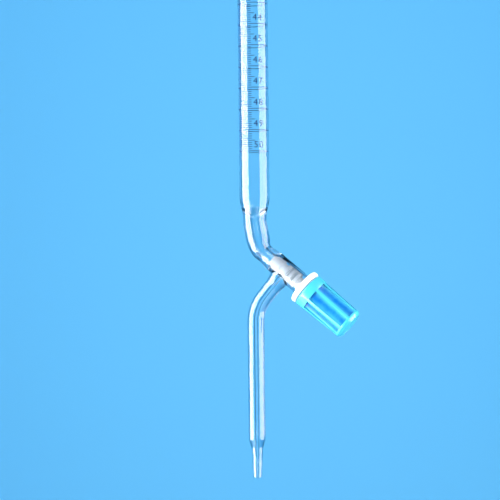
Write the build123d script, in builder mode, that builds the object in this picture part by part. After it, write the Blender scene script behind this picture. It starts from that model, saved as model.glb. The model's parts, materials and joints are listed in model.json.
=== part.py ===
"""A 50 ml laboratory burette with a screw-down valve on a slanting side barrel.

Units are millimetres. +Z runs up the axis of the graduated tube, and the origin is the middle of
the jet's tip. The valve barrel leans down towards +X, and the scale faces -Y.
"""

import math
import os

from build123d import *

os.makedirs("parts", exist_ok=True)

# Graduated tube. Its bore and its capacity give the length of the scale.
tube_radius = 7.25
tube_bore_radius = 5.6
capacity_ml = 50
scale_length = capacity_ml * 1000 / (math.pi * tube_bore_radius**2)
fifty_line = 157.0  # height of the 50 ml line
headroom = 60.0  # from the zero line to the rim
tube_top = fifty_line + scale_length + headroom
shoulder_top = 135.0
shoulder_bottom = 125.0
bore_bottom = 131.5

# Thick-walled elbow from the tube to the valve's inlet
neck_radius = 5.6
inlet_bore_radius = 2.1
elbow_plumb_end = 122.5
elbow_lean_bend = 20.0
elbow_bend = 7.5
elbow_radii = (neck_radius, 5.7, 5.75, 5.6, 5.2, 4.7, 4.5)

# Valve axis. It leaves the tube's axis at this height and angle, and distances along it start there.
valve_height = 112.0
valve_angle = 50.0  # degrees from straight down
elbow_corner = 3.2
elbow_end = 6.5

# Glass barrel
barrel_radius = 5.2
barrel_bore_radius = 4.0
seat_start = 10.6
seat_end = 13.2
barrel_full_at = 12.6
barrel_end = 32.0
bead_radius = 6.2
bead_length = 1.2

# Delivery arm and jet
outlet_at = 19.4
arm_radius = 4.05
arm_bore_radius = 0.65
arm_bend = 19.0
arm_end = 72.0
jet_heights = (19.5, 13.4, 8.0)
jet_radii = (arm_radius, 2.75, 2.3)
tip_radius = 2.05
orifice_radius = 0.4
orifice_length = 11.0

# Threaded collar, clipped over the bead of the barrel
collar_start = 30.4
collar_face = 33.3
collar_radius = 8.65
collar_rounding = 1.1
collar_gap = 0.05
lip_radius = 5.75  # smaller than the bead, so the collar can't come off
pocket_start = 30.9
gasket_thickness = 0.5
gasket_margin = 0.3  # inside the bead's edge and outside the bore
sleeve_radius = 5.25
sleeve_end = 45.0
thread_pitch = 2.0
thread_height = 0.62
thread_root_width = 0.95
thread_crest_width = 0.45
sleeve_thread = (35.5, 8.0)  # start and length
knob_thread = (sleeve_thread[0] - thread_pitch / 2, 6.5)  # half a pitch out, so the ridges mesh

# Spindle
spindle_radius = 3.92
nose_radius = 2.4
nose_at = 11.3
nose_body_radius = 3.7
nose_taper = 1.8
channel_taper = 0.5
channel = (17.2, 19.9)
channel_radius = 2.9
lands = ((19.9, 21.3), (22.8, 24.3), (25.8, 27.5))
groove_radius = 2.95
ring_section_radius = 0.46
ring_radius = 3.48
stem_radius = 3.0
stem_flats = 5.0  # across the two flats that stop the spindle from turning
stem_gap = 0.08
stem_end = 50.2
pin_radius = 1.5
pin_end = 55.4
clip_groove_radius = 1.05

# Knob and what holds the spindle to it
knob_start = 33.5
knob_end = 60.4
knob_base_radius = 8.5
knob_tip_radius = 7.8
knob_chamfer = 1.3
knob_bore_radius = 6.15
web = (51.0, 53.0)
web_hole_radius = 1.56
washer_radius = 3.8
clip_start = 53.08
clip_thickness = 0.6
clip_radius = 3.0
clip_gap = 0.1
clip_opening = 1.4
pocket_radius = 5.2
cap_start = 58.8
cap_radius = 5.85
panel_count = 8
panel_turn = -4.5  # degrees from -Y to the first panel, towards the lower side
panels = (38.3, 58.2)
panel_width = 5.0
panel_floor = 7.15

lean = math.radians(valve_angle)
valve_dir = Vector(math.sin(lean), 0, -math.cos(lean))
valve_side = Vector(math.cos(lean), 0, math.sin(lean))
valve_origin = Vector(0, 0, valve_height)
valve_axis = Axis(valve_origin, valve_dir)
valve_profile = Plane(origin=valve_origin, x_dir=valve_side, z_dir=(0, 1, 0))  # x out, y along
sleeve_start = barrel_end + gasket_thickness
land_end = lands[-1][1]


def across_valve(distance):
    """The plane square to the valve axis at a distance, facing the knob, its x towards -Y."""
    return Plane(origin=valve_origin + valve_dir * distance, x_dir=(0, -1, 0), z_dir=valve_dir)


def ring_section(inner, outer, start, end):
    """A rectangle in the valve's profile, between two radii and two distances."""
    with Locations(((inner + outer) / 2, (start + end) / 2)):
        return Rectangle(outer - inner, end - start)


def thread_ridge(radius, height, start, length):
    """A right-handed ridge on the valve axis. Its height is negative for one that points inward."""
    with BuildLine(mode=Mode.PRIVATE) as turns:
        Helix(pitch=thread_pitch, height=length, radius=radius,
              center=valve_origin + valve_dir * start, direction=valve_dir)
    path = turns.edge()
    outward = (path @ 0 - (valve_origin + valve_dir * start)).normalized()
    with BuildSketch(Plane(origin=path @ 0, x_dir=outward, z_dir=path % 0)) as tooth:
        with BuildLine():
            crest = thread_crest_width / 2
            root = thread_root_width / 2
            Polyline((-0.1 * math.copysign(1, height), -root), (height, -crest), (height, crest),
                     (-0.1 * math.copysign(1, height), root), close=True)
        make_face()
    sweep(sections=tooth.sketch, path=path, is_frenet=True)


# Graduated tube: fire-polished at the rim, its bore closing to the neck's at the shoulder
with BuildPart() as graduated_tube:
    with BuildSketch(Plane.XZ):
        with BuildLine():
            wall_round = (tube_radius - tube_bore_radius) / 2
            bore = Line((tube_bore_radius, bore_bottom), (tube_bore_radius, tube_top - wall_round))
            rim = ThreePointArc(bore @ 1, (tube_bore_radius + wall_round, tube_top),
                                (tube_radius, tube_top - wall_round))
            wall = Line(rim @ 1, (tube_radius, shoulder_top))
            shoulder = Spline(wall @ 1, (neck_radius, shoulder_bottom),
                              tangents=[(0, -1), (0, -1)], tangent_scalars=[1, 1])
            joint = Line(shoulder @ 1, (inlet_bore_radius, shoulder_bottom))
            Spline(joint @ 1, bore @ 0, tangents=[(0, 1), (0, 1)], tangent_scalars=[0.6, 1.6])
        make_face()
    revolve(axis=Axis.Z)
graduated_tube.part.label = "graduated_tube"
export_step(graduated_tube.part, "parts/graduated_tube.step")

# Elbow: a thick wall round a narrow bore, waisted where it meets the barrel
with BuildLine() as elbow_path:
    FilletPolyline((0, 0, shoulder_bottom), (0, 0, elbow_plumb_end),
                   valve_origin + valve_dir * elbow_corner, valve_origin + valve_dir * elbow_end,
                   radius=[elbow_lean_bend, elbow_bend])
elbow_centre = elbow_path.wire()
elbow_steps = len(elbow_radii) - 1
with BuildPart() as inlet_elbow:
    for step, radius in enumerate(elbow_radii):
        with BuildSketch(Plane(origin=elbow_centre @ (step / elbow_steps), x_dir=(0, 1, 0),
                               z_dir=elbow_centre % (step / elbow_steps))):
            Circle(radius)
    loft()
    with BuildSketch(Plane.XY.offset(shoulder_bottom)):
        Circle(inlet_bore_radius)
    sweep(path=elbow_centre, mode=Mode.SUBTRACT)
inlet_elbow.part.label = "inlet_elbow"
export_step(inlet_elbow.part, "parts/inlet_elbow.step")

# Barrel: a conical seat, a plain bore, a side outlet and a bead at the open end
arm_dir = valve_side * -1
outlet_centre = valve_origin + valve_dir * outlet_at
arm_reach = outlet_centre.X / valve_side.X
with BuildPart() as valve_barrel:
    with BuildSketch(valve_profile):
        with BuildLine():
            inlet = Line((0, elbow_end), (elbow_radii[-1], elbow_end))
            flare = Spline(inlet @ 1, (barrel_radius, barrel_full_at), tangents=[(0, 1), (0, 1)])
            side = Line(flare @ 1, (barrel_radius, barrel_end - 2 * bead_length))
            swell = Spline(side @ 1, (bead_radius, barrel_end - bead_length / 2),
                           tangents=[(0, 1), (0, 1)])
            edge = ThreePointArc(swell @ 1, (bead_radius - 0.15 * bead_length,
                                             barrel_end - 0.18 * bead_length),
                                 (bead_radius - bead_length / 2, barrel_end))
            Polyline(edge @ 1, (0, barrel_end), inlet @ 0)
        make_face()
    revolve(axis=valve_axis)
    with BuildSketch(valve_profile):
        with BuildLine():
            Polyline((0, elbow_end), (inlet_bore_radius, elbow_end), (inlet_bore_radius, seat_start),
                     (barrel_bore_radius, seat_end), (barrel_bore_radius, barrel_end),
                     (0, barrel_end), close=True)
        make_face()
    revolve(axis=valve_axis, mode=Mode.SUBTRACT)
    with BuildSketch(Plane(origin=outlet_centre, x_dir=(0, 1, 0), z_dir=arm_dir)):
        Circle(arm_bore_radius)
    extrude(amount=barrel_radius + 1, mode=Mode.SUBTRACT)
valve_barrel.part.label = "valve_barrel"
export_step(valve_barrel.part, "parts/valve_barrel.step")

# Delivery arm: square to the barrel, then bent down onto the tube's axis
with BuildPart() as delivery_arm:
    with BuildLine() as arm_path:
        FilletPolyline(outlet_centre + arm_dir * barrel_radius / 2,
                       outlet_centre + arm_dir * arm_reach, (0, 0, arm_end), radius=arm_bend)
    with BuildSketch(Plane(origin=arm_path.wire() @ 0, x_dir=(0, 1, 0), z_dir=arm_dir)):
        Circle(arm_radius)
    sweep(path=arm_path.wire())
    with BuildSketch(valve_profile):
        with Locations((barrel_radius / 2, outlet_at)):
            Rectangle(barrel_radius, 4 * arm_radius)
    revolve(axis=valve_axis, mode=Mode.SUBTRACT)
    with BuildSketch(Plane(origin=arm_path.wire() @ 0, x_dir=(0, 1, 0), z_dir=arm_dir)):
        Circle(arm_bore_radius)
    sweep(path=arm_path.wire(), mode=Mode.SUBTRACT)
delivery_arm.part.label = "delivery_arm"
export_step(delivery_arm.part, "parts/delivery_arm.step")

# Jet: a thick capillary drawn down to a slender tip
with BuildPart() as jet_tip:
    with BuildSketch(Plane.XZ):
        with BuildLine():
            top = Line((arm_bore_radius, arm_end), (arm_radius, arm_end))
            side = Line(top @ 1, (jet_radii[0], jet_heights[0]))
            drawn = Spline(side @ 1, *zip(jet_radii[1:], jet_heights[1:]), (tip_radius, 0),
                           tangents=[(0, -1), (0, -1)])
            Polyline(drawn @ 1, (orifice_radius, 0), (orifice_radius, orifice_length / 2),
                     (arm_bore_radius, orifice_length), top @ 0)
        make_face()
    revolve(axis=Axis.Z)
jet_tip.part.label = "jet_tip"
export_step(jet_tip.part, "parts/jet_tip.step")

# Collar: a flange clipped over the bead, and a threaded sleeve that guides the spindle's flats
with BuildPart() as threaded_collar:
    with BuildSketch(valve_profile):
        ring_section(0, collar_radius, collar_start, collar_face)
        ring_section(0, sleeve_radius, collar_face, sleeve_end)
    revolve(axis=valve_axis)
    rims = threaded_collar.edges().filter_by(GeomType.CIRCLE).group_by(SortBy.RADIUS)[-1]
    fillet(rims, radius=collar_rounding)
    with BuildSketch(valve_profile):
        with BuildLine():
            Polyline((0, collar_start), (lip_radius, collar_start),
                     (bead_radius + collar_gap, pocket_start),
                     (bead_radius + collar_gap, sleeve_start), (0, sleeve_start), close=True)
        make_face()
    revolve(axis=valve_axis, mode=Mode.SUBTRACT)
    with BuildSketch(across_valve(collar_face - 1)):
        Circle(stem_radius + stem_gap)
        Rectangle(2 * tube_radius, stem_flats + 2 * stem_gap, mode=Mode.INTERSECT)
    extrude(amount=sleeve_end - collar_face + 2, mode=Mode.SUBTRACT)
    thread_ridge(sleeve_radius, thread_height, *sleeve_thread)
threaded_collar.part.label = "threaded_collar"
export_step(threaded_collar.part, "parts/threaded_collar.step")

# Gasket: a flat ring between the glass bead and the collar
with BuildPart() as collar_gasket:
    with BuildSketch(across_valve(barrel_end)):
        Circle(bead_radius - gasket_margin)
        Circle(barrel_bore_radius + gasket_margin, mode=Mode.SUBTRACT)
    extrude(amount=gasket_thickness)
collar_gasket.part.label = "collar_gasket"
export_step(collar_gasket.part, "parts/collar_gasket.step")

# Spindle: a blunt nose, a narrow channel over the outlet, three lands with two grooves, a stem with
# flats, and a pin that the knob turns on
with BuildPart() as valve_spindle:
    with BuildSketch(valve_profile):
        with BuildLine():
            Polyline((0, nose_at), (nose_radius, nose_at), (nose_body_radius, nose_at + nose_taper),
                     (nose_body_radius, channel[0] - channel_taper), (channel_radius, channel[0]),
                     (channel_radius, channel[1]), (groove_radius, channel[1]),
                     (groove_radius, land_end), (stem_radius, land_end), (stem_radius, stem_end),
                     (pin_radius, stem_end), (pin_radius, pin_end), (0, pin_end), close=True)
        make_face()
        for land in lands:
            ring_section(channel_radius, spindle_radius, *land)
        with Locations(((clip_groove_radius + pin_radius) / 2, clip_start + clip_thickness / 2)):
            Rectangle(pin_radius - clip_groove_radius, clip_thickness + clip_gap, mode=Mode.SUBTRACT)
    revolve(axis=valve_axis)
    with BuildSketch(across_valve(land_end)):
        Rectangle(3 * stem_radius, 3 * stem_radius)
        Rectangle(3 * stem_radius, stem_flats, mode=Mode.SUBTRACT)
    extrude(amount=stem_end - land_end, mode=Mode.SUBTRACT)
valve_spindle.part.label = "valve_spindle"
export_step(valve_spindle.part, "parts/valve_spindle.step")

# Two seal rings in the spindle's grooves
for place, before, after in (("front", lands[0], lands[1]), ("rear", lands[1], lands[2])):
    with BuildPart() as seal_ring:
        with BuildSketch(valve_profile):
            with Locations((ring_radius, (before[1] + after[0]) / 2)):
                Circle(ring_section_radius)
        revolve(axis=valve_axis)
    seal_ring.part.label = f"{place}_seal_ring"
    export_step(seal_ring.part, f"parts/{place}_seal_ring.step")

# Knob: a tapered grip with eight sunk panels, threaded inside, with a web that carries the pin
with BuildPart() as knob:
    with BuildSketch(valve_profile):
        with BuildLine():
            Polyline((0, knob_start), (knob_base_radius, knob_start), (knob_tip_radius, knob_end),
                     (0, knob_end), close=True)
        make_face()
        ring_section(0, web_hole_radius, *web)
    revolve(axis=valve_axis)
    grip_edges = knob.edges().filter_by(GeomType.CIRCLE).sort_by(valve_axis)
    chamfer(grip_edges[-1], length=knob_chamfer)
    fillet(grip_edges[0], radius=0.5)
    with BuildSketch(across_valve(panels[0])):
        with PolarLocations(panel_floor + knob_base_radius / 2, panel_count, start_angle=panel_turn):
            Rectangle(knob_base_radius, panel_width)
    extrude(amount=panels[1] - panels[0], mode=Mode.SUBTRACT)
    with BuildSketch(valve_profile):
        ring_section(0, knob_bore_radius, knob_start, web[0])
        ring_section(0, web_hole_radius, *web)
        ring_section(0, pocket_radius, web[1], cap_start)
        ring_section(0, cap_radius + collar_gap, cap_start, knob_end)
    revolve(axis=valve_axis, mode=Mode.SUBTRACT)
    thread_ridge(knob_bore_radius, -thread_height, *knob_thread)
knob.part.label = "knob"
export_step(knob.part, "parts/knob.step")

# Washer between the spindle's shoulder and the knob's web
with BuildPart() as thrust_washer:
    with BuildSketch(across_valve(stem_end)):
        Circle(washer_radius)
        Circle(web_hole_radius, mode=Mode.SUBTRACT)
    extrude(amount=web[0] - stem_end)
thrust_washer.part.label = "thrust_washer"
export_step(thrust_washer.part, "parts/thrust_washer.step")

# Clip in the pin's groove, open on one side
with BuildPart() as retaining_clip:
    with BuildSketch(across_valve(clip_start)):
        Circle(clip_radius)
        Circle(clip_groove_radius + clip_gap / 4, mode=Mode.SUBTRACT)
        with Locations((clip_radius / 2, 0)):
            Rectangle(clip_radius + 1, clip_opening, mode=Mode.SUBTRACT)
    extrude(amount=clip_thickness)
retaining_clip.part.label = "retaining_clip"
export_step(retaining_clip.part, "parts/retaining_clip.step")

# Cap that closes the knob's end
with BuildPart() as knob_cap:
    with BuildSketch(across_valve(cap_start)):
        Circle(cap_radius)
    extrude(amount=knob_end - cap_start)
    chamfer(knob_cap.edges().sort_by(valve_axis)[-1], length=0.3)
knob_cap.part.label = "knob_cap"
export_step(knob_cap.part, "parts/knob_cap.step")
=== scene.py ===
import json
import math

import bmesh
import bpy
from mathutils import Matrix, Quaternion, Vector


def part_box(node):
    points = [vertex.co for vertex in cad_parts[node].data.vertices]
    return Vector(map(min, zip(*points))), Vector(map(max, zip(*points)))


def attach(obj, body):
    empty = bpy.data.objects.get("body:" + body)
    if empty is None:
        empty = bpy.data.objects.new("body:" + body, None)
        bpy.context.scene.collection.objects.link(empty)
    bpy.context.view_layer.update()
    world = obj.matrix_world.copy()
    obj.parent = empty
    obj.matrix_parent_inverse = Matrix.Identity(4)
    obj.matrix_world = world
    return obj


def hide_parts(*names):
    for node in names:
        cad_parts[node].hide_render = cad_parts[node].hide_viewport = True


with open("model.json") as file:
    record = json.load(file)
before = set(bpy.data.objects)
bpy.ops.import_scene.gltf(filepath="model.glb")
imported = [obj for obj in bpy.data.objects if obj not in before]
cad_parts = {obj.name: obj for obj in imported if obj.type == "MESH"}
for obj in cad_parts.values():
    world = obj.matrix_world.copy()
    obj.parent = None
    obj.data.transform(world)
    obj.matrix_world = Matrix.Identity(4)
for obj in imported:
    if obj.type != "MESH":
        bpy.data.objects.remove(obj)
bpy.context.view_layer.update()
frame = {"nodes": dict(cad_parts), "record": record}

mm = 0.001
weld = 0.001 * mm  # vertices closer than this become one
record = frame["record"]
joints = {joint["name"]: joint for joint in record["behaviour"]["joints"]}
knobTurn = joints["knob_turn"]
valveDir = Vector(knobTurn["axis"]).normalized()
valveStart = Vector(knobTurn["pos_m"])  # where the valve's axis leaves the tube's axis
sideDir = Vector((0, 1, 0)).cross(valveDir) * -1  # square to the valve, pointing up and out
# turned pieces are made along Z, then laid on the valve's axis with their -Y side still facing -Y
valveFrame = Matrix.Translation(valveStart) @ Matrix((-sideDir, (0, 1, 0), valveDir)).transposed().to_4x4()
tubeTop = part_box("graduated_tube")[1].z
down = Vector((0, 0, -1))


def alongValve(distance):
    return valveStart + valveDir * distance


def valveEnd(node):
    # last distance of a CAD node along the valve's axis
    return max((vertex.co - valveStart).dot(valveDir) for vertex in frame["nodes"][node].data.vertices)


# shader maths on sockets


class Sock:
    def __init__(self, tree, socket):
        self.tree = tree
        self.socket = socket

    def maths(self, operation, other):
        node = self.tree.nodes.new("ShaderNodeMath")
        node.operation = operation
        plug(self.tree, node.inputs[0], self)
        plug(self.tree, node.inputs[1], other)
        return Sock(self.tree, node.outputs[0])

    def __add__(self, other):
        return self.maths("ADD", other)

    def __mul__(self, other):
        return self.maths("MULTIPLY", other)


def plug(tree, port, value):
    if isinstance(value, Sock):
        tree.links.new(value.socket, port)
    else:
        port.default_value = value


class Finish:
    def __init__(self, name, fixed):
        self.material = bpy.data.materials.new(name)
        self.material.use_nodes = True
        self.tree = self.material.node_tree
        self.shader = self.tree.nodes["Principled BSDF"]
        for port, value in fixed.items():
            self.shader.inputs[port].default_value = value

    def node(self, kind, settings, inputs, output=0):
        made = self.tree.nodes.new(kind)
        for key, value in settings.items():
            setattr(made, key, value)
        for port, value in inputs.items():
            plug(self.tree, made.inputs[port], value)
        return Sock(self.tree, made.outputs[output])

    def place(self):
        return self.node("ShaderNodeTexCoord", {}, {}, "Object")

    def noise(self, size, detail=2.0, roughness=0.5):
        # size is the width of one blotch, in metres
        inputs = {"Vector": self.place(), "Scale": 1 / size, "Detail": detail, "Roughness": roughness}
        return self.node("ShaderNodeTexNoise", {}, inputs, "Fac")

    def vectorMaths(self, operation, first, second, output="Vector"):
        return self.node("ShaderNodeVectorMath", {"operation": operation}, {0: first, 1: second}, output)

    def alongAxis(self):
        # distance along the valve's axis
        offset = self.vectorMaths("SUBTRACT", self.place(), tuple(valveStart))
        return self.vectorMaths("DOT_PRODUCT", offset, tuple(valveDir), "Value")

    def fromAxis(self):
        # distance from the valve's axis
        offset = self.vectorMaths("SUBTRACT", self.place(), tuple(valveStart))
        across = self.vectorMaths("CROSS_PRODUCT", offset, tuple(valveDir))
        return self.node("ShaderNodeVectorMath", {"operation": "LENGTH"}, {0: across}, "Value")

    def ramp(self, value, low, high):
        inputs = {"Value": value, "From Min": low, "From Max": high}
        return self.node("ShaderNodeMapRange", {}, inputs, "Result")

    def mix(self, mask, first, second):
        inputs = {"Factor": mask, 6: first, 7: second}
        return self.node("ShaderNodeMix", {"data_type": "RGBA"}, inputs, 2)

    def bump(self, height, depth):
        # depth is the height of a full step, in metres
        inputs = {"Height": height, "Distance": depth}
        return self.node("ShaderNodeBump", {}, inputs, "Normal")

    def paint(self, **ports):
        names = {"colour": "Base Color", "roughness": "Roughness", "normal": "Normal"}
        for key, value in ports.items():
            plug(self.tree, self.shader.inputs[names[key]], value)
        return self.material


def clearGlass():
    look = {"colour": (0.985, 0.995, 1.0, 1), "ior": 1.473, "waveSize": 0.012, "waveDepth": 0.00002,
            "smudgeSize": 0.018, "smudgeDetail": 4.0, "smudgeGrain": 0.6, "smudgeFrom": 0.52,
            "smudgeTo": 0.75, "smudged": 0.035}
    finish = Finish("clearGlass", {"Base Color": look["colour"], "IOR": look["ior"],
                                   "Transmission Weight": 1.0})
    marks = finish.noise(look["smudgeSize"], look["smudgeDetail"], look["smudgeGrain"])
    smudges = finish.ramp(marks, look["smudgeFrom"], look["smudgeTo"])
    waves = finish.bump(finish.noise(look["waveSize"], 1.0), look["waveDepth"])
    return finish.paint(roughness=smudges * look["smudged"], normal=waves)


def whitePlastic(name, look):
    finish = Finish(name, {"Subsurface Weight": look["milky"], "Subsurface Scale": 0.002,
                           "Subsurface Radius": (1.0, 0.95, 0.9), "IOR": look["ior"]})
    blotchSize, blotchFrom, blotchTo = 0.006, 0.35, 0.7
    grainSize, sheenSize, sheenChange = 0.0004, 0.003, 0.12
    tone = finish.ramp(finish.noise(blotchSize, 3.0), blotchFrom, blotchTo)
    colour = finish.mix(tone, look["shade"], look["light"])
    rough = finish.noise(sheenSize, 3.0) * sheenChange + look["roughness"]
    return finish.paint(colour=colour, roughness=rough,
                        normal=finish.bump(finish.noise(grainSize), look["grain"]))


def bluePlastic():
    # painted light on the ribs and the ends, painted shade in the sunk panels, where the thin wall lets the
    # dark inside show
    look = {"deep": (0.0, 0.07, 0.33, 1), "cloudy": (0.0, 0.12, 0.42, 1), "light": (0.05, 0.40, 0.54, 1),
            "cloudSize": 0.012, "cloudFrom": 0.3, "cloudTo": 0.7, "ribFrom": 0.0072, "ribTo": 0.0077,
            "ribWander": 0.0002, "endFrom": 0.0578, "endTo": 0.0586, "clear": 0.35, "ior": 1.49,
            "roughness": 0.14, "sheenSize": 0.002, "sheenChange": 0.1, "grainSize": 0.0005,
            "grain": 0.000003}
    finish = Finish("bluePlastic", {"IOR": look["ior"], "Transmission Weight": look["clear"]})
    cloud = finish.ramp(finish.noise(look["cloudSize"]), look["cloudFrom"], look["cloudTo"])
    panel = finish.mix(cloud, look["deep"], look["cloudy"])
    distance = finish.fromAxis() + finish.noise(look["sheenSize"]) * look["ribWander"]
    paintedRibLight = finish.ramp(distance, look["ribFrom"], look["ribTo"])
    end = finish.ramp(finish.alongAxis(), look["endFrom"], look["endTo"])
    # the rib and end mask paints light on the ribs and the end; the panel colour stands for the painted shade
    # of the sunk panels
    colour = finish.mix(paintedRibLight.maths("MAXIMUM", end), panel, look["light"])
    rough = finish.noise(look["sheenSize"], 3.0) * look["sheenChange"] + look["roughness"]
    return finish.paint(colour=colour, roughness=rough,
                        normal=finish.bump(finish.noise(look["grainSize"]), look["grain"]))


def printedEnamel():
    look = {"dark": (0.01, 0.02, 0.06, 1), "worn": (0.03, 0.05, 0.11, 1), "roughness": 0.12, "ior": 1.38,
            "wearSize": 0.0012, "wearDetail": 4.0, "wearGrain": 0.7, "wearFrom": 0.5, "wearTo": 0.8,
            "wornRoughness": 0.25}
    finish = Finish("printedEnamel", {"IOR": look["ior"]})
    wear = finish.ramp(finish.noise(look["wearSize"], look["wearDetail"], look["wearGrain"]),
                       look["wearFrom"], look["wearTo"])
    colour = finish.mix(wear, look["dark"], look["worn"])
    return finish.paint(colour=colour, roughness=wear * look["wornRoughness"] + look["roughness"])


def stampedSteel():
    look = {"dark": (0.42, 0.43, 0.44, 1), "light": (0.62, 0.62, 0.63, 1), "grainSize": 0.0006,
            "roughness": 0.22, "roughnessChange": 0.25}
    finish = Finish("stampedSteel", {"Metallic": 1.0})
    grain = finish.noise(look["grainSize"], 3.0)
    colour = finish.mix(grain, look["dark"], look["light"])
    return finish.paint(colour=colour, roughness=grain * look["roughnessChange"] + look["roughness"])


glassFinish = clearGlass()
spindleFinish = whitePlastic("spindleWhite", {"shade": (0.72, 0.73, 0.74, 1), "light": (0.82, 0.82, 0.81, 1),
                                              "roughness": 0.36, "milky": 0.3, "ior": 1.38,
                                              "grain": 0.000006})
collarFinish = whitePlastic("collarWhite", {"shade": (0.40, 0.42, 0.42, 1), "light": (0.47, 0.49, 0.49, 1),
                                            "roughness": 0.28, "milky": 0.2, "ior": 1.49, "grain": 0.000003})
sealFinish = whitePlastic("sealMilky", {"shade": (0.50, 0.52, 0.53, 1), "light": (0.62, 0.64, 0.65, 1),
                                        "roughness": 0.3, "milky": 0.4, "ior": 1.41, "grain": 0.000002})
knobFinish = bluePlastic()
enamelFinish = printedEnamel()
clipFinish = stampedSteel()
print("finishes made")

# mesh helpers


def finishPiece(name, bm, material, body, nodes=(), sharp=35):
    # as keepPiece, but welded and faced outwards first
    bmesh.ops.remove_doubles(bm, verts=bm.verts, dist=weld)
    bmesh.ops.recalc_face_normals(bm, faces=bm.faces)
    return keepPiece(name, bm, material, body, nodes, sharp)


def keepPiece(name, bm, material, body, nodes=(), sharp=35):
    # the mesh becomes a piece that rides on a body, smooth but for edges sharper than the angle
    for face in bm.faces:
        face.smooth = True
    for edge in bm.edges:
        edge.smooth = len(edge.link_faces) == 2 and edge.calc_face_angle(0) < math.radians(sharp)
    mesh = bpy.data.meshes.new(name)
    bm.to_mesh(mesh)
    bm.free()
    piece = bpy.data.objects.new(name, mesh)
    bpy.context.scene.collection.objects.link(piece)
    mesh.materials.append(material)
    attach(piece, body)
    if nodes:
        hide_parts(*nodes)
    return piece


def easedRadius(stops, distance):
    # a radius that eases from one stop to the next
    for (start, before), (end, after) in zip(stops, stops[1:]):
        if distance <= end:
            share = max(0.0, (distance - start) / (end - start))
            return before + (after - before) * (1 - math.cos(math.pi * share)) / 2
    return stops[-1][1]


def bentPath(corners, bends, step=math.radians(2)):
    # points and directions along straight runs joined by tangent arcs, in the XZ plane
    stations = [(corners[0], (corners[1] - corners[0]).normalized())]
    for before, corner, after, bend in zip(corners, corners[1:], corners[2:], bends):
        inward, outward = (corner - before).normalized(), (after - corner).normalized()
        turn = inward.angle(outward)
        start = corner - inward * bend * math.tan(turn / 2)
        axis = inward.cross(outward).normalized()
        centre = start + axis.cross(inward) * bend
        pieces = max(2, round(turn / step))
        for index in range(pieces + 1):
            spin = Quaternion(axis, turn * index / pieces)
            stations.append((centre + spin @ (start - centre), spin @ inward))
    stations.append((corners[-1], (corners[-1] - corners[-2]).normalized()))
    return stations


def filledIn(stations, longest):
    # more stations on the straight runs, and each station's distance from the first
    full, travelled = [(*stations[0], 0.0)], 0.0
    for (before, _), (after, direction) in zip(stations, stations[1:]):
        run = (after - before).length
        pieces = max(1, math.ceil(run / longest))
        for index in range(1, pieces + 1):
            full.append((before.lerp(after, index / pieces), direction, travelled + run * index / pieces))
        travelled += run
    return full


def ringMatrix(centre, direction, radius):
    across = Vector((0, 1, 0))
    turned = Matrix((across, direction.cross(across), direction)).transposed().to_4x4()
    return Matrix.Translation(centre) @ turned @ Matrix.Diagonal((radius, radius, 1, 1))


def sweptSolid(rings, segments):
    # a closed solid through rings of (centre, direction, radius)
    bm = bmesh.new()
    places = [ringMatrix(*ring) for ring in rings]
    bmesh.ops.create_circle(bm, segments=segments, radius=1, cap_ends=False, matrix=places[0])
    firstEdges = edges = list(bm.edges)
    for before, after in zip(places, places[1:]):
        made = bmesh.ops.extrude_edge_only(bm, edges=edges)["geom"]
        verts = [item for item in made if isinstance(item, bmesh.types.BMVert)]
        edges = [item for item in made if isinstance(item, bmesh.types.BMEdge)]
        ringVerts = set(verts)
        edges = [edge for edge in edges if ringVerts.issuperset(edge.verts)]
        bmesh.ops.transform(bm, matrix=after @ before.inverted(), verts=verts)
    for loop in (firstEdges, edges):
        bmesh.ops.edgeloop_fill(bm, edges=loop)
    bmesh.ops.recalc_face_normals(bm, faces=bm.faces)
    return bm


def spunSolid(profile, segments):
    # a closed profile of (radius, distance) turned once round Z
    bm = bmesh.new()
    verts = [bm.verts.new((0, -radius, distance)) for radius, distance in profile]
    edges = [bm.edges.new((verts[index - 1], verts[index])) for index in range(len(verts))]
    bmesh.ops.spin(bm, geom=verts + edges, cent=(0, 0, 0), axis=(0, 0, 1), angle=math.tau,
                   steps=segments, use_merge=True)
    bmesh.ops.remove_doubles(bm, verts=bm.verts, dist=weld)
    bmesh.ops.dissolve_degenerate(bm, edges=bm.edges, dist=weld / 10)
    bmesh.ops.recalc_face_normals(bm, faces=bm.faces)
    return bm


def roundEdges(bm, width, angle, segments):
    # a small rounding on every edge sharper than the angle
    bmesh.ops.remove_doubles(bm, verts=bm.verts, dist=weld)
    bmesh.ops.recalc_face_normals(bm, faces=bm.faces)
    sharp = [edge for edge in bm.edges
             if len(edge.link_faces) == 2 and edge.calc_face_angle(0) > math.radians(angle)]
    bmesh.ops.bevel(bm, geom=sharp, offset=width, offset_type="OFFSET", segments=segments, profile=0.5,
                    affect="EDGES", material=-1, clamp_overlap=True)


def combined(base, other, operation):
    # a boolean of two meshes, both used up
    objects = []
    for index, bm in enumerate((base, other)):
        mesh = bpy.data.meshes.new(f"working{index}")
        bm.to_mesh(mesh)
        bm.free()
        piece = bpy.data.objects.new(f"working{index}", mesh)
        bpy.context.scene.collection.objects.link(piece)
        objects.append(piece)
    change = objects[0].modifiers.new("combine", "BOOLEAN")
    change.operation = operation
    change.solver = "EXACT"
    change.object = objects[1]
    result = bpy.data.meshes.new_from_object(objects[0].evaluated_get(bpy.context.evaluated_depsgraph_get()))
    bm = bmesh.new()
    bm.from_mesh(result)
    for piece in objects:
        old = piece.data
        bpy.data.objects.remove(piece)
        bpy.data.meshes.remove(old)
    bpy.data.meshes.remove(result)
    return bm


# stage, light and camera

stage = {"floorDrop": 1.3, "flatRadius": 2.2, "wallRadius": 4.6, "wallHeight": 4.2, "bendSteps": 12,
         "colour": (0.18, 0.60, 0.86, 1)}


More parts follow.
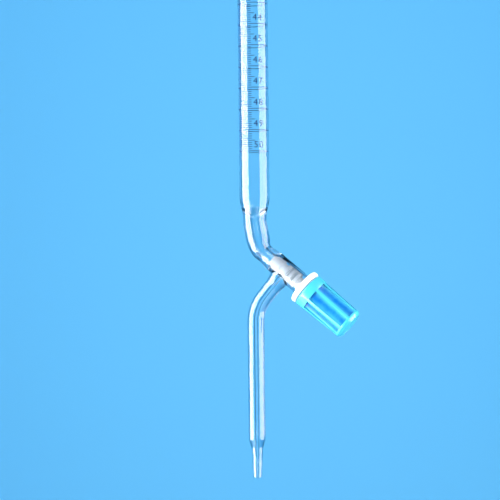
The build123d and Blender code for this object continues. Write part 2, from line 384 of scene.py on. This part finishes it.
def coveFloor():
    # a floor that sweeps up on all sides, so that no horizon shows
    bm = bmesh.new()
    low = -stage["floorDrop"]
    bend = stage["wallRadius"] - stage["flatRadius"]
    verts = [bm.verts.new((0, 0, low)), bm.verts.new((stage["flatRadius"], 0, low))]
    for index in range(1, stage["bendSteps"] + 1):
        angle = math.pi / 2 * index / stage["bendSteps"]
        verts.append(bm.verts.new((stage["flatRadius"] + bend * math.sin(angle), 0,
                                   low + bend * (1 - math.cos(angle)))))
    verts.append(bm.verts.new((stage["wallRadius"], 0, stage["wallHeight"])))
    edges = [bm.edges.new(pair) for pair in zip(verts, verts[1:])]
    bmesh.ops.spin(bm, geom=verts + edges, cent=(0, 0, 0), axis=(0, 0, 1), angle=math.tau, steps=96,
                   use_merge=True, use_duplicate=False)
    bmesh.ops.remove_doubles(bm, verts=bm.verts, dist=weld * 10)
    for face in bm.faces:
        face.smooth = True
    mesh = bpy.data.meshes.new("coveFloor")
    bm.to_mesh(mesh)
    bm.free()
    floor = bpy.data.objects.new("coveFloor", mesh)
    bpy.context.scene.collection.objects.link(floor)
    finish = Finish("paleFloor", {"Base Color": stage["colour"], "Roughness": 0.9})
    mesh.materials.append(finish.material)


def softBox(name, place, aim, width, height, power):
    light = bpy.data.lights.new(name, "AREA")
    light.shape = "RECTANGLE"
    light.size, light.size_y, light.energy = width, height, power
    lamp = bpy.data.objects.new(name, light)
    lamp.location = place
    lamp.rotation_mode = "QUATERNION"
    lamp.rotation_quaternion = (Vector(aim) - Vector(place)).to_track_quat("-Z", "Y")
    lamp.visible_camera = False
    bpy.context.scene.collection.objects.link(lamp)
    return lamp


view = {"azimuth": 15, "distance": 0.85, "width": 0.241, "centre": (-0.0025, 0.1096), "roll": -0.63,
        "sensor": 36}


def viewAxes():
    # level directions from the object towards the camera, and to the camera's right
    angle = math.radians(view["azimuth"])
    return Vector((math.sin(angle), -math.cos(angle), 0)), Vector((math.cos(angle), math.sin(angle), 0))


def aimCamera():
    back, right = viewAxes()
    camera = bpy.data.cameras.new("camera")
    camera.sensor_width = view["sensor"]
    camera.lens = camera.sensor_width * view["distance"] / view["width"]
    rig = bpy.data.objects.new("camera", camera)
    rig.location = right * view["centre"][0] + Vector((0, 0, view["centre"][1])) + back * view["distance"]
    rig.rotation_mode = "QUATERNION"
    level = (-back).to_track_quat("-Z", "Y")
    rig.rotation_quaternion = level @ Quaternion((0, 0, 1), math.radians(view["roll"]))
    bpy.context.scene.collection.objects.link(rig)
    bpy.context.scene.camera = rig


studio = {
    "aimHeight": 0.06,
    # tall boxes at each side: name, middle angle from the camera, half angle, brightness
    "boxes": (("leftBox", -76, 30, 19), ("rightBox", 75, 34, 10)),
    "boxHeight": 0.3, "boxTall": 1.3, "boxReach": 0.9,
    "low": {"left": 0.6, "front": 0.35, "height": -0.44, "wide": 0.9, "power": 10},
    "front": {"left": 0.7, "front": 1.1, "height": -0.35, "wide": 0.9, "power": 6},
    "top": {"left": 0, "front": 0, "height": 2.6, "wide": 2.0, "power": 8},
    # lamps turned to the walls behind and before the object
    "glow": {"reach": 2.6, "height": 0.75, "wide": 0.7, "power": 15, "frontPower": 12},
    "world": (0.14, 0.34, 0.56, 1), "strength": 0.5,
}


def lightStage():
    back, right = viewAxes()
    aim, boxMiddle = Vector((0, 0, studio["aimHeight"])), Vector((0, 0, studio["boxHeight"]))
    for name, turn, half, bright in studio["boxes"]:
        turn = math.radians(turn)
        wide, tall = 2 * studio["boxReach"] * math.tan(math.radians(half)), studio["boxTall"]
        place = boxMiddle + (back * math.cos(turn) + right * math.sin(turn)) * studio["boxReach"]
        lamp = softBox(name, place, boxMiddle, wide, tall, bright * math.pi * wide * tall)
        lamp.visible_transmission = False  # mirrored by the glass but not seen through it
    fills = {}
    for name in ("low", "front", "top"):
        fill = studio[name]
        place = back * fill["front"] - right * fill["left"] + Vector((0, 0, fill["height"]))
        fills[name] = softBox(name + "Fill", place, aim, fill["wide"], fill["wide"], fill["power"])
    fills["front"].visible_glossy = False
    glow = studio["glow"]
    for name, outward, power in (("backGlow", -back, glow["power"]), ("frontGlow", back, glow["frontPower"])):
        place = Vector((0, 0, glow["height"])) + outward * glow["reach"]
        softBox(name, place, place + outward, glow["wide"], glow["wide"], power)
    world = bpy.data.worlds.new("world")
    bpy.context.scene.world = world
    world.use_nodes = True
    sky = world.node_tree.nodes["Background"].inputs
    sky["Color"].default_value = studio["world"]
    sky["Strength"].default_value = studio["strength"]
    bpy.context.scene.view_settings.view_transform = "Standard"


coveFloor()
aimCamera()
lightStage()
print("stage and lights made")

# the glass, fused in one piece

glass = {
    "segments": 96, "boreSegments": 32, "quarterSteps": 6, "tipSteps": 4, "sharp": 40,
    "tubeRadius": 7.25, "tubeBore": 5.6,
    "shoulder": (135.0, 125.0), "boreBottom": 131.5,
    "neckRadius": 5.6, "inletBore": 2.1,
    "plumbEnd": 122.5, "leanBend": 20.0, "corner": 3.2, "bend": 7.5, "elbowEnd": 6.5,
    "elbow": ((0.5, 5.75), (0.85, 4.95), (1.0, 4.5)),  # share of the elbow's run, radius
    "barrelRadius": 5.2, "barrelBore": 4.0, "fullAt": 12.6, "seat": (10.6, 13.2),
    "beadRadius": 6.2, "beadLength": 1.2,
    "outletAt": 19.4, "armRadius": 4.05, "armBore": 0.65, "armBend": 19.0, "armFlare": 4.75, "flareEnd": 1.9,
    "jet": ((19.5, 4.05), (13.4, 2.75), (8.0, 2.3), (0.0, 2.05)), "orifice": 0.4, "orificeLength": 11.0,
    "tipRound": 0.3,
    # longest gap between rings, and how many are skipped for each one kept on the plain tube
    "ringGap": 1.5, "tubeThinning": 16, "boreGap": 0.8, "boreThinning": 30, "armGap": 1.0, "armBoreGap": 2.0,
    "plainMargin": 1.0, "past": 1.0,
}


def pathLength(path):
    return sum((after[0] - before[0]).length for before, after in zip(path, path[1:]))


def quarterTurns(steps):
    # cosine and sine over a quarter turn, in even steps
    angles = [math.pi / 2 * step / steps for step in range(steps + 1)]
    return [(math.cos(angle), math.sin(angle)) for angle in angles]


def mainPath():
    # down the tube, round the elbow and along the barrel
    g = glass
    corners = [Vector((0, 0, tubeTop)), Vector((0, 0, g["plumbEnd"] * mm)), alongValve(g["corner"] * mm),
               alongValve(valveEnd("valve_barrel"))]
    return bentPath(corners, (g["leanBend"] * mm, g["bend"] * mm))


def glassOutside(path, tubeRun, barrelStart):
    # tubeRun and barrelStart are distances along the path, where the neck and the barrel start
    g = glass
    barrelEnd, elbowRun = valveEnd("valve_barrel"), barrelStart - tubeRun
    shoulderTop = g["shoulder"][0] * mm
    lip = (g["tubeRadius"] - g["tubeBore"]) / 2 * mm
    flareRun = (g["fullAt"] - g["elbowEnd"]) * mm
    bead, end = g["beadLength"] * mm, barrelStart + barrelEnd - g["elbowEnd"] * mm
    stops = [(0, g["tubeRadius"]), (tubeTop - shoulderTop, g["tubeRadius"]), (tubeRun, g["neckRadius"])]
    stops += [(tubeRun + elbowRun * share, radius) for share, radius in g["elbow"]]
    stops += [(barrelStart + flareRun, g["barrelRadius"]), (end - 2 * bead, g["barrelRadius"]),
              (end - bead / 2, g["beadRadius"]), (end, g["beadRadius"])]
    rings = []
    for across, along in quarterTurns(g["quarterSteps"])[:0:-1]:  # fire-polished rim
        rings.append((Vector((0, 0, tubeTop - lip * (1 - along))), down,
                      g["tubeRadius"] * mm - lip * (1 - across)))
    for centre, direction, distance in filledIn(path, g["ringGap"] * mm):
        onTube = lip < distance < tubeTop - shoulderTop - g["plainMargin"] * mm
        skipped = onTube and round(distance / (g["ringGap"] * mm)) % g["tubeThinning"]
        if not skipped and lip < distance <= end - bead / 2:
            rings.append((centre, direction, easedRadius(stops, distance) * mm))
    for across, along in quarterTurns(g["quarterSteps"]):  # rounded end of the bead
        rings.append((alongValve(barrelEnd - bead / 2 * (1 - along)), valveDir,
                      g["beadRadius"] * mm - bead / 2 * (1 - across)))
    return sweptSolid(rings, g["segments"])


def glassBore(path, tubeRun, barrelStart):
    g = glass
    lip = (g["tubeRadius"] - g["tubeBore"]) / 2 * mm
    boreEnd = tubeTop - g["boreBottom"] * mm
    stops = [(0, g["tubeBore"]), (boreEnd, g["tubeBore"]), (tubeRun, g["inletBore"]),
             (tubeRun + (barrelStart - tubeRun) * 2, g["inletBore"])]
    rings = [(Vector((0, 0, tubeTop + 2 * g["past"] * mm)), down, g["tubeBore"] * mm + lip)]
    for across, along in quarterTurns(g["quarterSteps"]):
        rings.append((Vector((0, 0, tubeTop - lip * (1 - across))), down,
                      g["tubeBore"] * mm + lip * (1 - along)))
    seatStart, seatEnd = (distance * mm for distance in g["seat"])
    for centre, direction, distance in filledIn(path, g["boreGap"] * mm):
        onTube = lip < distance < boreEnd - g["plainMargin"] * mm
        if distance <= lip * 1.2 or (onTube and round(distance / (g["boreGap"] * mm)) % g["boreThinning"]):
            continue
        if (centre - valveStart).dot(valveDir) > seatStart and distance > tubeRun:
            break
        rings.append((centre, direction, easedRadius(stops, distance) * mm))
    rings.append((alongValve(seatStart), valveDir, g["inletBore"] * mm))
    rings.append((alongValve(seatEnd), valveDir, g["barrelBore"] * mm))
    rings.append((alongValve(valveEnd("valve_barrel") + g["past"] * mm), valveDir, g["barrelBore"] * mm))
    return sweptSolid(rings, g["segments"])


def armPath():
    outlet = alongValve(glass["outletAt"] * mm)
    corner = outlet - sideDir * (outlet.x / sideDir.x)
    return bentPath([outlet, corner, Vector((0, 0, 0))], (glass["armBend"] * mm,))


def armOutside(path):
    g = glass
    length, root, tipRound = pathLength(path), g["barrelRadius"] * mm, g["tipRound"] * mm
    stops = [(0, g["armFlare"]), (root, g["armFlare"]), (root * g["flareEnd"], g["armRadius"])]
    stops += [(length - height * mm, radius) for height, radius in g["jet"]]
    rings = [(centre, direction, easedRadius(stops, distance) * mm)
             for centre, direction, distance in filledIn(path, g["armGap"] * mm)
             if distance < length - tipRound]
    for across, along in quarterTurns(g["tipSteps"]):
        rings.append((Vector((0, 0, tipRound * (1 - along))), down,
                      g["jet"][-1][1] * mm - tipRound * (1 - across)))
    return sweptSolid(rings, g["segments"])


def armBore(path):
    g = glass
    length = pathLength(path)
    stops = [(0, g["armBore"]), (length - g["orificeLength"] * mm, g["armBore"]), (length, g["orifice"])]
    rings = [(centre, direction, easedRadius(stops, distance) * mm)
             for centre, direction, distance in filledIn(path, g["armBoreGap"] * mm)
             if distance > g["barrelBore"] / 2 * mm]
    rings.append((Vector((0, 0, -g["past"] * mm)), down, g["orifice"] * mm))
    return sweptSolid(rings, g["boreSegments"])


def fusedGlass():
    path, side = mainPath(), armPath()
    tubeRun = tubeTop - glass["shoulder"][1] * mm
    barrelStart = pathLength(path) - (valveEnd("valve_barrel") - glass["elbowEnd"] * mm)
    solid = combined(glassOutside(path, tubeRun, barrelStart), armOutside(side), "UNION")
    solid = combined(solid, glassBore(path, tubeRun, barrelStart), "DIFFERENCE")
    solid = combined(solid, armBore(side), "DIFFERENCE")
    return finishPiece("fusedGlass", solid, glassFinish, "glass",
                       ("graduated_tube", "inlet_elbow", "valve_barrel", "delivery_arm", "jet_tip"),
                       glass["sharp"])


glassPiece = fusedGlass()
print("glass made", len(glassPiece.data.polygons), "faces")

# the printed scale, raised a hair above the tube

scale = {
    "capacity": 50, "fiftyLine": 157.0, "perMl": 10.1502,
    "thickness": 0.28, "rise": 0.025, "sunk": 0.02,
    "edge": -53, "shortTo": 7, "mediumTo": 19,  # degrees round the tube, from -Y towards +X
    "numeralSize": 4.3, "numeralAt": 33, "numeralRaise": 3.1, "letterSpacing": 1.2,
    "slice": 0.5, "curveSteps": 3, "merge": 0.001,
    "steps": (8, 10, 64),  # faces along a short mark, a medium one and a full ring
}


def ringStamp(start, end, steps):
    # a flat band round the tube between two angles
    inner, outer = (glass["tubeRadius"] - scale["sunk"]) * mm, (glass["tubeRadius"] + scale["rise"]) * mm
    half = scale["thickness"] / 2 * mm
    bm = bmesh.new()
    corners = [bm.verts.new((0, -radius, height))
               for radius, height in ((inner, -half), (outer, -half), (outer, half), (inner, half))]
    edges = [bm.edges.new((corners[index - 1], corners[index])) for index in range(4)]
    whole = end - start == 360
    if not whole:
        bm.faces.new(corners)
    bmesh.ops.rotate(bm, verts=corners, cent=(0, 0, 0), matrix=Matrix.Rotation(math.radians(start), 3, "Z"))
    bmesh.ops.spin(bm, geom=list(bm.faces) or corners + edges, cent=(0, 0, 0), axis=(0, 0, 1),
                   angle=math.radians(end - start), steps=steps, use_merge=whole)
    if not whole:
        bmesh.ops.recalc_face_normals(bm, faces=bm.faces)
    mesh = bpy.data.meshes.new("stamp")
    bm.to_mesh(mesh)
    bm.free()
    return mesh


def numeralStamp(number):
    # the digits as a thin slab, sliced upright and wrapped round the tube
    curve = bpy.data.curves.new("numeral", "FONT")
    curve.body = str(number)
    curve.size = scale["numeralSize"]  # in millimetres, as small text loses its holes
    curve.align_x = "CENTER"
    curve.space_character = scale["letterSpacing"]
    curve.resolution_u = scale["curveSteps"]
    curve.extrude = (scale["rise"] + scale["sunk"]) / 2
    text = bpy.data.objects.new("numeral", curve)
    bpy.context.scene.collection.objects.link(text)
    mesh = bpy.data.meshes.new_from_object(text.evaluated_get(bpy.context.evaluated_depsgraph_get()))
    bpy.data.objects.remove(text)
    bpy.data.curves.remove(curve)
    bm = bmesh.new()
    bm.from_mesh(mesh)
    bmesh.ops.remove_doubles(bm, verts=bm.verts, dist=scale["merge"])
    cuts = math.ceil(max(abs(vertex.co.x) for vertex in bm.verts) / scale["slice"])
    for index in range(-cuts, cuts + 1):
        bmesh.ops.bisect_plane(bm, geom=list(bm.verts) + list(bm.edges) + list(bm.faces),
                               plane_co=(index * scale["slice"], 0, 0), plane_no=(1, 0, 0))
    low = min(vertex.co.y for vertex in bm.verts)
    high = max(vertex.co.y for vertex in bm.verts)
    middle = glass["tubeRadius"] + (scale["rise"] - scale["sunk"]) / 2
    for vertex in bm.verts:
        angle = math.radians(scale["numeralAt"]) + vertex.co.x / middle
        reach = middle + vertex.co.z
        vertex.co = Vector((reach * math.sin(angle), -reach * math.cos(angle),
                            vertex.co.y - (low + high) / 2)) * mm
    bm.to_mesh(mesh)
    bm.free()
    return mesh


def stampDown(target, mesh, heights):
    for height in heights:
        known = len(target.verts)
        target.from_mesh(mesh)
        target.verts.ensure_lookup_table()
        bmesh.ops.translate(target, verts=target.verts[known:], vec=(0, 0, height * mm))


def printedScale():
    lineAt = {tenth: scale["fiftyLine"] + (scale["capacity"] - tenth / 10) * scale["perMl"]
              for tenth in range(scale["capacity"] * 10 + 1)}
    bm = bmesh.new()
    shortSteps, mediumSteps, ringSteps = scale["steps"]
    stampDown(bm, ringStamp(scale["edge"], scale["shortTo"], shortSteps),
              [height for tenth, height in lineAt.items() if tenth % 5])
    stampDown(bm, ringStamp(scale["edge"], scale["mediumTo"], mediumSteps),
              [height for tenth, height in lineAt.items() if tenth % 10 == 5])
    stampDown(bm, ringStamp(0, 360, ringSteps),
              [height for tenth, height in lineAt.items() if tenth % 10 == 0])
    for number in range(scale["capacity"] + 1):
        stampDown(bm, numeralStamp(number), [lineAt[number * 10] + scale["numeralRaise"]])
    return keepPiece("printedScale", bm, enamelFinish, "glass")


scalePiece = printedScale()
print("scale made", len(scalePiece.data.polygons), "faces")

# spindle, turned and with two flats on its stem

spindle = {
    "segments": 64, "edge": 0.1,
    "profile": ((0, 11.3), (2.4, 11.3), (3.7, 13.1), (3.7, 16.7), (2.9, 17.2), (2.9, 19.9), (3.92, 19.9),
                (3.92, 21.3), (2.95, 21.3), (2.95, 22.8), (3.92, 22.8), (3.92, 24.3), (2.95, 24.3),
                (2.95, 25.8), (3.92, 25.8), (3.92, 27.5), (3.0, 27.5), (3.0, 50.2), (1.5, 50.2),
                (1.5, 53.03), (1.05, 53.03), (1.05, 53.73), (1.5, 53.73), (1.5, 55.4), (0, 55.4)),
    "flats": 5.0, "flatRun": (27.5, 50.2), "cutDepth": 4.0, "cutWidth": 10.0,
    "edgeAngle": 30, "edgeSteps": 2,
}


def cutterBlock(size, middle):
    # a block to cut with, its size and middle in millimetres
    bm = bmesh.new()
    bmesh.ops.create_cube(bm, size=1, matrix=Matrix.Diagonal((*(side * mm for side in size), 1)))
    bmesh.ops.translate(bm, verts=bm.verts, vec=[place * mm for place in middle])
    return bm


def turnedSpindle():
    g = spindle
    bm = spunSolid([(radius * mm, distance * mm) for radius, distance in g["profile"]], g["segments"])
    start, end = g["flatRun"]
    for side in (-1, 1):
        cutter = cutterBlock((g["cutDepth"], g["cutWidth"], end - start),
                             (side * (g["flats"] + g["cutDepth"]) / 2, 0, (start + end) / 2))
        bm = combined(bm, cutter, "DIFFERENCE")
    roundEdges(bm, g["edge"] * mm, g["edgeAngle"], g["edgeSteps"])
    bm.transform(valveFrame)
    return finishPiece("turnedSpindle", bm, spindleFinish, "spindle", ("valve_spindle",),
                       g["edgeAngle"])


turnedSpindle()
print("spindle made")

# knob, a tapered grip with eight sunk panels

knob = {
    "segments": 96, "base": 8.5, "tip": 7.8, "run": (33.5, 60.4), "baseRound": 0.5, "tipChamfer": 1.3,
    "bore": 6.15, "web": (51.0, 53.0), "hole": 1.56, "pocket": 5.2, "capAt": 58.8, "capRecess": 5.9,
    "panels": 8, "panelTurn": -4.5, "panelRun": (38.3, 58.2), "panelWidth": 5.0, "panelFloor": 7.15,
    "edge": 0.22, "edgeAngle": 25, "edgeSteps": 3, "cutDepth": 4.0, "sharp": 30,
    "threadStart": 34.5, "threadLength": 6.5, "pitch": 2.0, "ridge": 0.62, "root": 0.95, "crest": 0.45,
    "sunk": 0.1, "turnSteps": 32,
}


def grippedKnob():
    g = knob
    start, end = g["run"]
    taper = (g["base"] - g["tip"]) / (end - start)
    outside = [(g["base"] - g["baseRound"], start),
               (g["base"] - taper * g["baseRound"], start + g["baseRound"]),
               (g["tip"] + taper * g["tipChamfer"], end - g["tipChamfer"]),
               (g["tip"] - g["tipChamfer"], end)]
    inside = [(g["capRecess"], end), (g["capRecess"], g["capAt"]), (g["pocket"], g["capAt"]),
              (g["pocket"], g["web"][1]), (g["hole"], g["web"][1]), (g["hole"], g["web"][0]),
              (g["bore"], g["web"][0]), (g["bore"], start)]
    bm = spunSolid([(radius * mm, distance * mm) for radius, distance in outside + inside], g["segments"])
    low, high = g["panelRun"]
    for index in range(g["panels"]):
        cutter = cutterBlock((g["panelWidth"], g["cutDepth"], high - low),
                             (0, -(g["panelFloor"] + g["cutDepth"] / 2), (low + high) / 2))
        turn = math.radians(g["panelTurn"] + 360 * index / g["panels"])
        bmesh.ops.rotate(cutter, verts=cutter.verts, cent=(0, 0, 0), matrix=Matrix.Rotation(turn, 3, "Z"))
        bm = combined(bm, cutter, "DIFFERENCE")
    roundEdges(bm, g["edge"] * mm, g["edgeAngle"], g["edgeSteps"])
    ridge = threadRidge()
    mesh = bpy.data.meshes.new("ridge")
    ridge.to_mesh(mesh)
    ridge.free()
    bm.from_mesh(mesh)
    bpy.data.meshes.remove(mesh)
    bm.transform(valveFrame)
    return finishPiece("grippedKnob", bm, knobFinish, "knob", ("knob",), g["sharp"])


def threadRidge():
    # a helical ridge inside the knob, its foot sunk in the wall
    g = knob
    bm = bmesh.new()
    foot, crest = (g["bore"] + g["sunk"]) * mm, (g["bore"] - g["ridge"]) * mm
    root, top = g["root"] / 2 * mm, g["crest"] / 2 * mm
    corners = [bm.verts.new((-radius, 0, g["threadStart"] * mm + height))
               for radius, height in ((foot, -root), (crest, -top), (crest, top), (foot, root))]
    face = bm.faces.new(corners)
    turns = g["threadLength"] / g["pitch"]
    steps = round(turns * g["turnSteps"])
    bmesh.ops.spin(bm, geom=[face], cent=(0, 0, 0), axis=(0, 0, 1), angle=math.tau * turns, steps=steps,
                   dvec=(0, 0, g["threadLength"] * mm / steps))
    bmesh.ops.recalc_face_normals(bm, faces=bm.faces)
    return bm


grippedKnob()
print("knob made")

# the remaining CAD nodes get their finishes

nodeFinishes = {"threaded_collar": collarFinish, "collar_gasket": sealFinish,
                "front_seal_ring": sealFinish, "rear_seal_ring": sealFinish, "thrust_washer": spindleFinish,
                "retaining_clip": clipFinish, "knob_cap": knobFinish}
for node, material in nodeFinishes.items():
    for place in frame["nodes"][node].material_slots:
        place.material = material
